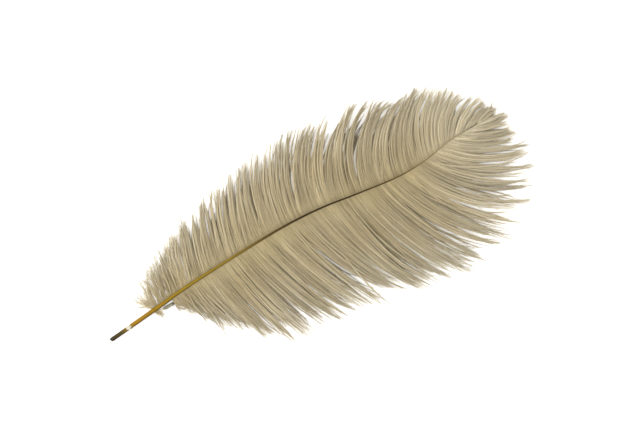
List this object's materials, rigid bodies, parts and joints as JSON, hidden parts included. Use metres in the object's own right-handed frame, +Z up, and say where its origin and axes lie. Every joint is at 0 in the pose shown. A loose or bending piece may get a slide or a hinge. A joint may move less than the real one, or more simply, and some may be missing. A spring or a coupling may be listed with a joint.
{
  "type": "ostrich plume",
  "caption": "Single natural ostrich plume: a bare hollow quill, a slender arched shaft that flexes, and soft curling barbs clumped into pointed locks along both sides.",
  "frame": {"origin": "centre of the quill's cut end, on the quill's axis", "axes": "+X along the quill's axis towards the tip of the plume, +Y towards the side with the shorter barbs, +Z up, away from the surface that the plume lies on, on the side that is seen"},
  "size_m": [0.3422, 0.1547, 0.0132],
  "materials": {
    "quill_horn": "amber horn, satin, darker olive at the cut end",
    "shaft_horn": "brown horn, satin",
    "pith": "dry white foam",
    "dry_sheath": "dry, flaky",
    "down": "fine pale down",
    "barbs": "soft beige barbs with a faint sheen"
  },
  "bodies": {
    "lower": {"quill": "quill_horn", "pulp_caps": "pith", "sheath_collar": "dry_sheath", "sheath_flake": "dry_sheath", "down_tuft_left": "down", "down_tuft_right": "down", "shaft_lower": "shaft_horn", "pith_lower": "pith", "left_lock_01": "barbs", "left_lock_02": "barbs", "left_lock_03": "barbs", "left_lock_04": "barbs", "left_lock_05": "barbs", "right_lock_01": "barbs", "right_lock_02": "barbs", "right_lock_03": "barbs", "right_lock_04": "barbs"},
    "middle": {"shaft_middle": "shaft_horn", "pith_middle": "pith", "left_lock_06": "barbs", "left_lock_07": "barbs", "left_lock_08": "barbs", "left_lock_09": "barbs", "left_lock_10": "barbs", "right_lock_05": "barbs", "right_lock_06": "barbs", "right_lock_07": "barbs", "right_lock_08": "barbs", "right_lock_09": "barbs"},
    "upper": {"shaft_upper": "shaft_horn", "pith_upper": "pith", "left_lock_11": "barbs", "left_lock_12": "barbs", "left_lock_13": "barbs", "left_lock_14": "barbs", "left_lock_15": "barbs", "right_lock_10": "barbs", "right_lock_11": "barbs", "right_lock_12": "barbs", "right_lock_13": "barbs", "right_lock_14": "barbs"},
    "end": {"shaft_end": "shaft_horn", "pith_end": "pith", "left_lock_16": "barbs", "left_lock_17": "barbs", "left_lock_18": "barbs", "left_lock_19": "barbs", "left_lock_20": "barbs", "right_lock_15": "barbs", "right_lock_16": "barbs", "right_lock_17": "barbs", "right_lock_18": "barbs", "right_lock_19": "barbs", "tip_lock": "barbs"}
  },
  "joints": [
    {"name": "flex_lower", "type": "hinge", "parent": "lower", "child": "middle", "pos_m": [0.112, -0.00153, 0.00476], "axis": [0, -1, 0], "range_deg": [-3, 15], "stiffness_Nm_per_rad": 0.05},
    {"name": "flex_middle", "type": "hinge", "parent": "middle", "child": "upper", "pos_m": [0.182, -0.00802, 0.00779], "axis": [0, -1, 0], "range_deg": [-3, 20], "stiffness_Nm_per_rad": 0.02},
    {"name": "flex_upper", "type": "hinge", "parent": "upper", "child": "end", "pos_m": [0.252, -0.02363, 0.00699], "axis": [0, -1, 0], "range_deg": [-4, 25], "stiffness_Nm_per_rad": 0.004}
  ]
}
